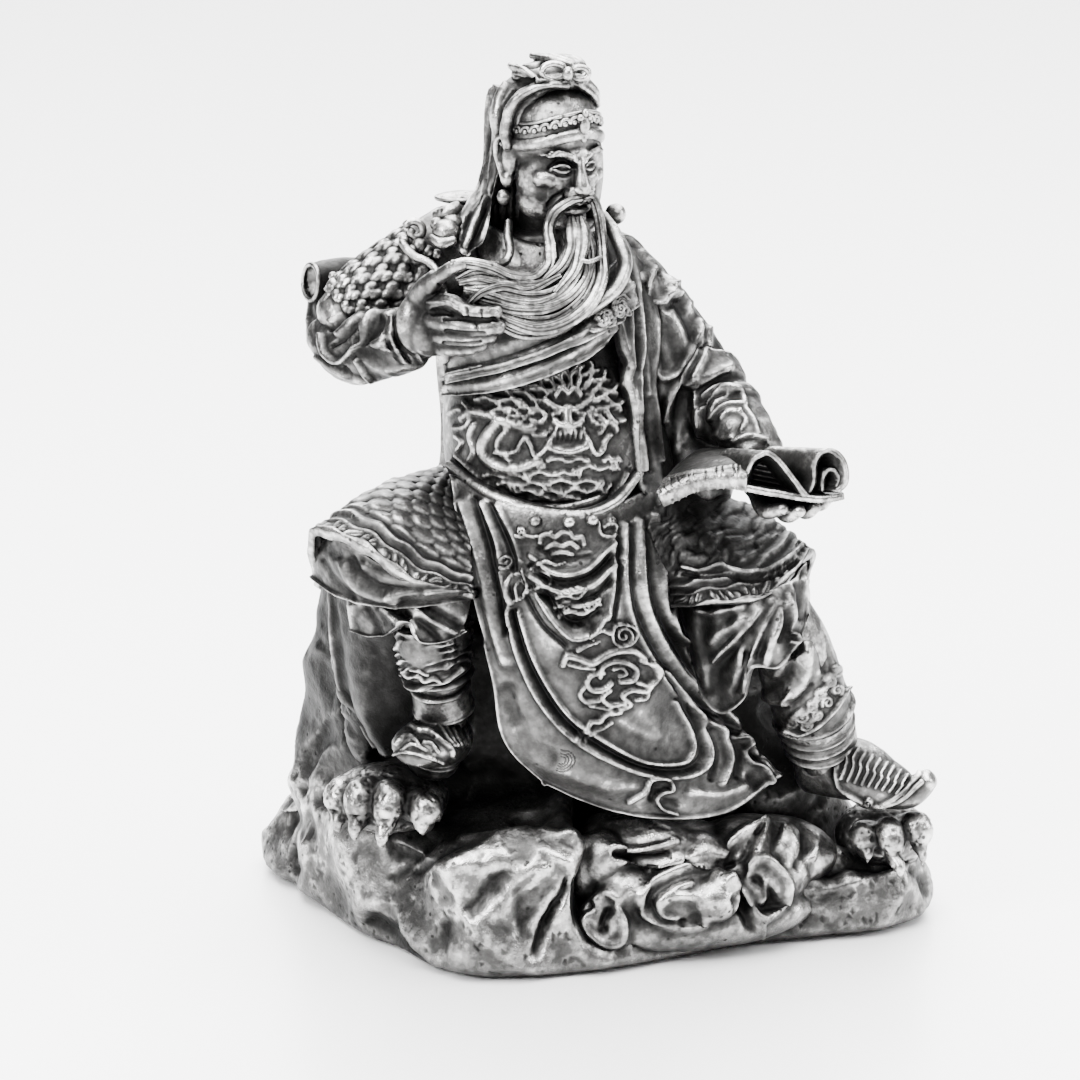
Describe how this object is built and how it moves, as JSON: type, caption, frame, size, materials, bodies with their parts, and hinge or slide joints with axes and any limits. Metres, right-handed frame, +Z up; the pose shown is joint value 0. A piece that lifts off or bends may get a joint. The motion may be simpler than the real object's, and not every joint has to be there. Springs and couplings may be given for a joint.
{
  "type": "guan yu statue",
  "caption": "Seated bearded warrior statue in robe and armour, stroking his beard and holding an open book, cast in one piece with a rock plinth draped with an animal pelt",
  "frame": {"origin": "on the flat underside of the rock, straight below the figure's lap", "axes": "+Z up, -Y towards the viewer of the statue's front, +X to the viewer's right, which is the figure's left"},
  "size_m": [0.1776, 0.1294, 0.226],
  "materials": {
    "aged_pewter": "aged pewter, near black in the recesses and rubbed bright on the high points"
  },
  "bodies": {
    "root": {"statue": "aged_pewter"}
  },
  "joints": []
}
